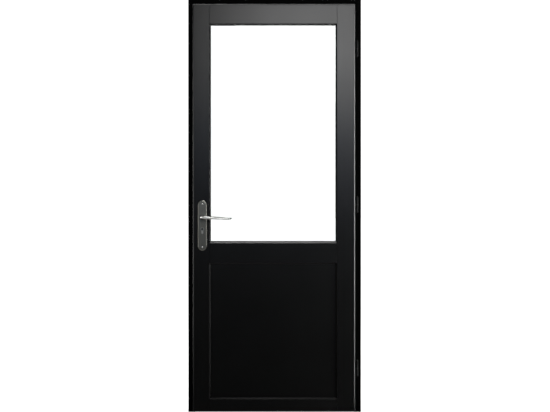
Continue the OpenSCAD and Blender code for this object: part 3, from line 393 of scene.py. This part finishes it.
def metal(name, tint, roughness, stretch, scratch, tarnish=0.12):
    """Brushed or plated metal; stretch is how fine its scratches are along each axis."""
    material, tree, shader, coordinates = new_material(name)
    skin = add(tree, "ShaderNodeGroup", node_tree=brushed_skin())
    tree.links.new(coordinates, skin.inputs["Coordinates"])
    skin.inputs["Brush stretch"].default_value = stretch
    skin.inputs["Scratch depth"].default_value = scratch
    skin.inputs["Roughness"].default_value = roughness
    dull = add(tree, "ShaderNodeMix", data_type="RGBA")
    dull.inputs[6].default_value = (*(c * (1.0 + tarnish) for c in tint), 1.0)
    dull.inputs[7].default_value = (*(c * (1.0 - tarnish) for c in tint), 1.0)
    tree.links.new(skin.outputs["Tarnish"], dull.inputs[0])
    tree.links.new(dull.outputs[2], shader.inputs["Base Color"])
    shader.inputs["Metallic"].default_value = 1.0
    tree.links.new(skin.outputs["Roughness"], shader.inputs["Roughness"])
    bump(tree, shader, skin.outputs["Height"])
    return material


def moulded(name, tint, roughness, scale, depth, specular=0.5):
    """Rubber, plastic or powder coat with a fine pebbled skin."""
    material, tree, shader, coordinates = new_material(name)
    skin = add(tree, "ShaderNodeGroup", node_tree=pebbled_skin())
    tree.links.new(coordinates, skin.inputs["Coordinates"])
    skin.inputs["Pebble scale"].default_value = scale
    skin.inputs["Pebble depth"].default_value = depth
    skin.inputs["Roughness"].default_value = roughness
    tree.links.new(skin.outputs["Roughness"], shader.inputs["Roughness"])
    shader.inputs["Base Color"].default_value = (*tint, 1.0)
    shader.inputs["Specular IOR Level"].default_value = specular
    bump(tree, shader, skin.outputs["Height"])
    return material


def clear_glass():
    """Float glass with the faint wave of a toughened pane."""
    material, tree, shader, coordinates = new_material("float glass")
    wave = noise(tree, coordinates, 3.0, 1.0)
    bump(tree, shader, maths(tree, "MULTIPLY", wave, 0.00002))
    shader.inputs["Base Color"].default_value = (0.985, 0.996, 0.992, 1.0)
    shader.inputs["Roughness"].default_value = 0.0
    shader.inputs["IOR"].default_value = 1.52
    shader.inputs["Transmission Weight"].default_value = 1.0
    return material


def finish(names, material):
    """Gives each named construction piece the material in all its slots."""
    for name in names:
        if name not in NODES:
            raise RuntimeError(f"there is no construction piece called {name}")
        for slot in NODES[name].material_slots:
            slot.material = material


# ---- levers ----

NECK_START = 0.0262     # from the leaf's middle to the end of the neck that is in the plate
HALF_DEPTH = 0.009      # from the grip's centre line to the outermost point of the lever
TIP_CLEARANCE = 0.0006  # from the tip to the end of the space for the lever
TIP_ROUND = 0.006       # length over which the tip rounds off
SQUARENESS = 0.86       # 1 makes the section an ellipse, less makes it squarer
# share of the reach, share of the drop
DROP_CURVE = ((0.0, 0.0), (0.1, 0.06), (0.34, 0.5), (0.62, 0.72), (0.84, 1.08), (1.0, 1.0))
# share of the reach, distance that the grip leans to the leaf
LEAN_CURVE = ((0.0, 0.0), (0.2, 0.0), (0.85, 0.0022), (1.0, 0.0024))
# share of the length, half width and half height between the neck and the tip
WIDTH_CURVE = ((0.14, 0.0078), (0.27, 0.0083), (0.62, 0.0082), (1.0, 0.0066))
HEIGHT_CURVE = ((0.14, 0.0078), (0.27, 0.0074), (0.5, 0.0062), (0.78, 0.0047))

def smoothstep(t):
    t = max(0.0, min(1.0, t))
    return t * t * (3.0 - 2.0 * t)


def along_curve(stations, t):
    """Smooth value at t of a rising list of (t, value)."""
    for (t0, v0), (t1, v1) in zip(stations, stations[1:]):
        if t <= t1:
            return v0 + (v1 - v0) * smoothstep((t - t0) / (t1 - t0))
    return stations[-1][1]


def lever_path(side, reach, out, look):
    """Rings of a lever as (centre, half width across, half height, tangent), side -1 for the front."""
    elbow = look.elbow
    neck_end = out - elbow
    neck = neck_end - NECK_START
    bend = elbow * math.pi / 2
    grip = reach - elbow
    total = neck + bend + grip
    neck_ring = (0.0, look.neck_radius)
    rings = []
    for i in range(look.rings + 1):
        # rings stand closer together at the rounded tip
        s = total * math.sin(i / look.rings * math.pi / 2)
        if s < neck:
            centre, tangent = Vector((0.0, NECK_START + s, 0.0)), Vector((0.0, 1.0, 0.0))
        elif s < neck + bend:
            a = (s - neck) / elbow
            centre = Vector((elbow * (1 - math.cos(a)), neck_end + elbow * math.sin(a), 0.0))
            tangent = Vector((math.sin(a), math.cos(a), 0.0))
        else:
            x = elbow + s - (total - grip)
            centre, tangent = Vector((x, out, 0.0)), Vector((1.0, 0.0, 0.0))
        t = s / total
        x = centre.x / reach
        centre.z = -look.drop * along_curve(DROP_CURVE, x)
        centre.y -= along_curve(LEAN_CURVE, x)
        across = along_curve((neck_ring, *WIDTH_CURVE), t)
        up = along_curve((neck_ring, *HEIGHT_CURVE, (1.0, look.tip_height)), t)
        if s > total - TIP_ROUND:
            round_off = math.sqrt(max(0.0, 1.0 - ((s - total + TIP_ROUND) / TIP_ROUND) ** 2))
            across *= round_off
            up *= round_off
        rings.append((Vector((centre.x, side * centre.y, centre.z)), across, up,
                      Vector((tangent.x, side * tangent.y, 0.0))))
    return rings


def build_lever(name, side, body, replaced, material, look):
    """A lever swept along its path; side is -1 for the front and 1 for the back."""
    low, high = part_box(replaced)
    spindle_low, spindle_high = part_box("spindle")
    hub = (spindle_low + spindle_high) / 2
    hub.y = 0.0
    reach = high.x - hub.x - TIP_CLEARANCE
    out = (abs(low.y) if side < 0 else high.y) - HALF_DEPTH
    if reach <= look.elbow or out <= look.elbow + NECK_START:
        raise RuntimeError(f"{name} has no room for an elbow of {look.elbow} m")
    mesh = bmesh.new()
    loops = []
    for centre, across, up, tangent in lever_path(side, reach, out, look):
        sideways = Vector((-tangent.y, tangent.x, 0.0)).normalized()
        loop = []
        for j in range(look.sides):
            a = 2 * math.pi * j / look.sides
            c, s = math.cos(a), math.sin(a)
            c, s = (math.copysign(abs(v) ** SQUARENESS, v) for v in (c, s))
            loop.append(mesh.verts.new(hub + centre + sideways * (across * c) + Vector((0, 0, up * s))))
        loops.append(loop)
    for a, b in zip(loops, loops[1:]):
        for j in range(look.sides):
            k = (j + 1) % look.sides
            mesh.faces.new((a[j], a[k], b[k], b[j]))
    mesh.faces.new(loops[0])
    mesh.faces.new(loops[-1])
    bmesh.ops.remove_doubles(mesh, verts=mesh.verts, dist=1e-6)
    bmesh.ops.recalc_face_normals(mesh, faces=mesh.faces)
    data = bpy.data.meshes.new(name)
    mesh.to_mesh(data)
    mesh.free()
    for face in data.polygons:
        face.use_smooth = True
    piece = bpy.data.objects.new(name, data)
    bpy.context.scene.collection.objects.link(piece)
    data.materials.append(material)
    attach(piece, body)
    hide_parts(replaced)
    return piece


# ---- studio ----

def seen_straight(tree, path):
    """1 where a surface is seen directly or through glass alone, 0 in reflections and for soft light."""
    turns = maths(tree, "ADD", path.outputs["Glossy Depth"], path.outputs["Diffuse Depth"])
    through = maths(tree, "MULTIPLY", path.outputs["Is Transmission Ray"],
                    maths(tree, "LESS_THAN", turns, 0.5))
    return maths(tree, "MAXIMUM", path.outputs["Is Camera Ray"], through)


def studio_world(look):
    """White to the camera and through glass, dim grey to everything else."""
    world = bpy.data.worlds.new("studio")
    bpy.context.scene.world = world
    world.use_nodes = True
    tree = world.node_tree
    tree.nodes.clear()
    path = tree.nodes.new("ShaderNodeLightPath")
    seen = seen_straight(tree, path)
    dim = add(tree, "ShaderNodeBackground")
    dim.inputs["Color"].default_value = (*look.surround, 1.0)
    white = add(tree, "ShaderNodeBackground")
    white.inputs["Strength"].default_value = look.backdrop
    mix = add(tree, "ShaderNodeMixShader")
    tree.links.new(seen, mix.inputs[0])
    tree.links.new(dim.outputs[0], mix.inputs[1])
    tree.links.new(white.outputs[0], mix.inputs[2])
    out = add(tree, "ShaderNodeOutputWorld")
    tree.links.new(mix.outputs[0], out.inputs[0])


def studio_floor(look):
    """White floor that shines to the camera and is dim where the door mirrors it at a low angle."""
    size = 40.0
    data = bpy.data.meshes.new("studio_floor")
    data.from_pydata([(-size, -size, 0), (size, -size, 0), (size, size, 0), (-size, size, 0)], [],
                     [(0, 1, 2, 3)])
    floor = bpy.data.objects.new("studio_floor", data)
    bpy.context.scene.collection.objects.link(floor)
    floor.location.z = -0.0005
    material, tree, shader, coordinates = new_material("studio floor")
    shader.inputs["Base Color"].default_value = (*look.floor, 1.0)
    shader.inputs["Roughness"].default_value = 0.9
    shader.inputs["Specular IOR Level"].default_value = 0.0
    path = tree.nodes.new("ShaderNodeLightPath")
    seen = seen_straight(tree, path)
    glow = add(tree, "ShaderNodeEmission")
    tree.links.new(maths(tree, "MULTIPLY", seen, look.floor_glow), glow.inputs["Strength"])
    lit = add(tree, "ShaderNodeAddShader")
    tree.links.new(shader.outputs[0], lit.inputs[0])
    tree.links.new(glow.outputs[0], lit.inputs[1])
    dim = add(tree, "ShaderNodeEmission")
    edge = add(tree, "ShaderNodeLayerWeight")
    from_above = maths(tree, "POWER", maths(tree, "SUBTRACT", 1.0, edge.outputs["Facing"]), 3.0)
    mirrored = maths(tree, "ADD", maths(tree, "MULTIPLY", from_above, look.floor_above), look.floor_low)
    tree.links.new(mirrored, dim.inputs["Strength"])
    mix = add(tree, "ShaderNodeMixShader")
    shown = maths(tree, "MAXIMUM", seen, path.outputs["Is Diffuse Ray"])
    tree.links.new(maths(tree, "SUBTRACT", 1.0, shown), mix.inputs[0])
    tree.links.new(lit.outputs[0], mix.inputs[1])
    tree.links.new(dim.outputs[0], mix.inputs[2])
    tree.links.new(mix.outputs[0], tree.nodes["Material Output"].inputs["Surface"])
    data.materials.append(material)


def soft_light(name, at, towards, size, power, spread=180.0):
    light = bpy.data.lights.new(name, "AREA")
    light.shape = "RECTANGLE"
    light.size, light.size_y = size
    light.energy = power
    light.spread = math.radians(spread)
    lamp = bpy.data.objects.new(name, light)
    bpy.context.scene.collection.objects.link(lamp)
    lamp.location = at
    lamp.rotation_euler = (Vector(towards) - Vector(at)).to_track_quat("-Z", "Y").to_euler()
    lamp.visible_camera = False
    lamp.visible_transmission = False
    return lamp


def studio_lights(look):
    """Soft boxes and strips round the door; most take a share of the key light's power."""
    key = look.key_power
    side_box, side_strip, far_strip = (2.8, 2.5), (0.35, 2.3), (1.2, 2.5)
    soft_light("key_light", (0.4, -3.0, 2.38), (0.4, 0.0, 2.38), (1.42, 1.1), key * 1.06)
    sky = soft_light("sky_light", (0.2, -3.0, 1.55), (0.2, 0.0, 1.55), (1.8, 0.5), key / 18)
    sky.data.color = (0.25, 0.5, 1.0)
    soft_light("top_light", (-0.1, -0.12, 4.3), (-0.1, -0.1, 1.0), (2.0, 0.3), look.top_power)
    for side, name, power, spread in ((1, "right_light", look.side_power, 22.0),
                                      (-1, "left_light", look.side_power / 20, 30.0)):
        soft_light(name, (1.25 * side, -0.45, 1.1), (0.42 * side, -0.02, 1.1), side_strip, power, spread)
    soft_light("back_light", (-0.4, 3.2, 2.4), (0.0, 0.0, 1.6), (1.4, 1.2), key)
    for x, y, name, portion in ((3.0, -2.8, "front_right_light", 0.9), (-3.0, -2.8, "front_left_light", 0.5),
                                (3.0, 2.8, "back_right_light", 1.3), (-3.0, 2.8, "back_left_light", 1.3)):
        soft_light(name, (x, y, 1.3), (0.0, 0.0, 1.3), side_box, key * portion)
    for side, name in ((1, "far_right_light"), (-1, "far_left_light")):
        soft_light(name, (3.4 * side, 1.6, 1.3), (0.0, 0.3, 1.2), far_strip, key * 2)


def studio_camera(distance, eye):
    """Level camera in front of the door; the frame's height fills the picture."""
    low, high = CAD_BOX
    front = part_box("lock_jamb")[0].y
    picture_height = 0.998 * (high.z - low.z)
    picture_width = picture_height * 550 / 412
    data = bpy.data.cameras.new("camera")
    data.sensor_width = 36.0
    data.lens = data.sensor_width * distance / picture_width
    data.shift_y = (low.z + picture_height / 2 - eye) / picture_width
    camera = bpy.data.objects.new("camera", data)
    bpy.context.scene.collection.objects.link(camera)
    camera.location = ((low.x + high.x) / 2 + 0.002, front - distance, eye)
    camera.rotation_euler = (math.pi / 2, 0.0, 0.0)
    bpy.context.scene.camera = camera


# ---- operators ----

class DOOR_OT_timber(bpy.types.Operator):
    """Lacquers the frame, the stiles, the rails, the panel and the beads"""
    bl_idname = "door.timber"
    bl_label = "Lacquer the timber"

    def execute(self, context):
        look = context.scene.door_lacquer
        finish(LEAF_UPRIGHTS, lacquer("satin lacquer upright", ALONG_Z, look.roughness))
        finish(LEAF_CROSSPIECES, lacquer("satin lacquer across", ALONG_X, look.roughness))
        finish(SCUFFED_CROSSPIECES, lacquer("scuffed lacquer", ALONG_X, look.scuffed_roughness,
                                            look.scuffed_specular))
        matt = (look.frame_roughness, look.frame_specular, look.frame_sheen, True)
        finish(FRAME_UPRIGHTS, lacquer("matt lacquer upright", ALONG_Z, *matt))
        finish(FRAME_CROSSPIECES, lacquer("matt lacquer across", ALONG_X, *matt))
        return {"FINISHED"}


class DOOR_OT_hinges(bpy.types.Operator):
    """Coats the hinges black"""
    bl_idname = "door.hinges"
    bl_label = "Coat the hinges"

    def execute(self, context):
        look = context.scene.door_trim
        finish(HINGES, moulded("black powder coat", look.powder, 0.5, 900.0, 0.00004,
                               look.powder_specular))
        return {"FINISHED"}


class DOOR_OT_glazing(bpy.types.Operator):
    """Glazes the leaf"""
    bl_idname = "door.glazing"
    bl_label = "Glaze the leaf"

    def execute(self, context):
        look = context.scene.door_metal
        finish(("pane_front", "pane_back"), clear_glass())
        finish(("spacer_frame",), metal("spacer aluminium", look.aluminium, 0.35,
                                        (60.0, 900.0, 60.0), 0.00001))
        return {"FINISHED"}


class DOOR_OT_metalwork(bpy.types.Operator):
    """Plates the handle plates, the lock, the screws and the threshold"""
    bl_idname = "door.metalwork"
    bl_label = "Plate the metalwork"

    def execute(self, context):
        look = context.scene.door_metal
        finish(PLATES, metal("satin nickel", look.nickel, look.nickel_roughness,
                             BRUSHED_Z, 0.000012))
        finish(BOLTS, metal("bright nickel", look.bright, look.bright_roughness, PLATED, 0.000008))
        finish(("cylinder_body",), metal("nickel plated brass", look.cylinder, 0.36, PLATED, 0.00001))
        # the plugs get a darkened nickel as painted shade of the keyway, which is not modelled
        finish(PLUGS, metal("plug nickel with painted keyway shade", look.plug, 0.3, PLATED, 0.00001))
        finish(STEEL, metal("zinc plated steel", look.steel, 0.34, PLATED, 0.00001))
        finish(("follower",), metal("sintered brass", look.brass, 0.42, (700.0, 700.0, 700.0), 0.00002))
        finish(("threshold",), metal("threshold aluminium", look.threshold, 0.36,
                                     (20.0, 1400.0, 1400.0), 0.000016))
        return {"FINISHED"}


class DOOR_OT_seals(bpy.types.Operator):
    """Gives the seals, blocks and bushes their rubber and nylon"""
    bl_idname = "door.seals"
    bl_label = "Finish the seals"

    def execute(self, context):
        look = context.scene.door_trim
        finish(RUBBER, moulded("black rubber", look.rubber, 0.62, 1200.0, 0.00005))
        finish(NYLON, moulded("black nylon", look.nylon, 0.45, 1500.0, 0.00003))
        return {"FINISHED"}


class DOOR_OT_levers(bpy.types.Operator):
    """Builds the two levers"""
    bl_idname = "door.levers"
    bl_label = "Build the levers"

    def execute(self, context):
        look = context.scene.door_metal
        shape = context.scene.door_lever
        material = metal("satin nickel lever", look.bright, look.lever_roughness, BRUSHED_X, 0.00001)
        build_lever("front_lever", -1, "levers", "lever_front", material, shape)
        build_lever("back_lever", 1, "levers", "lever_back", material, shape)
        return {"FINISHED"}


class DOOR_OT_studio(bpy.types.Operator):
    """Lays the floor, hangs the lights and stands the camera"""
    bl_idname = "door.studio"
    bl_label = "Set up the studio"

    def execute(self, context):
        look = context.scene.door_studio
        context.scene.view_settings.view_transform = "Standard"
        studio_world(look)
        studio_floor(look)
        studio_lights(look)
        studio_camera(look.distance, look.eye)
        return {"FINISHED"}


class DOOR_PT_panel(bpy.types.Panel):
    """Lists the steps that finish the door"""
    bl_label = "Half-glazed door"
    bl_idname = "DOOR_PT_panel"
    bl_space_type = "VIEW_3D"
    bl_region_type = "UI"
    bl_category = "Door"

    def draw(self, context):
        for step in STEPS:
            self.layout.operator(step.bl_idname)


SETTINGS = {
    "door_lacquer": DoorLacquer,
    "door_metal": DoorMetal,
    "door_trim": DoorTrim,
    "door_lever": DoorLever,
    "door_studio": DoorStudio,
}
STEPS = (DOOR_OT_timber, DOOR_OT_hinges, DOOR_OT_glazing, DOOR_OT_metalwork, DOOR_OT_seals,
         DOOR_OT_levers, DOOR_OT_studio)


def register():
    for name, group in SETTINGS.items():
        bpy.utils.register_class(group)
        setattr(bpy.types.Scene, name, PointerProperty(type=group))
    for step in STEPS:
        bpy.utils.register_class(step)
    bpy.utils.register_class(DOOR_PT_panel)


def unregister():
    bpy.utils.unregister_class(DOOR_PT_panel)
    for step in reversed(STEPS):
        bpy.utils.unregister_class(step)
    for name, group in SETTINGS.items():
        delattr(bpy.types.Scene, name)
        bpy.utils.unregister_class(group)


def main():
    register()
    bpy.ops.door.timber()
    bpy.ops.door.hinges()
    bpy.ops.door.glazing()
    bpy.ops.door.metalwork()
    bpy.ops.door.seals()
    bpy.ops.door.levers()
    bpy.ops.door.studio()


if __name__ == "__main__":
    main()
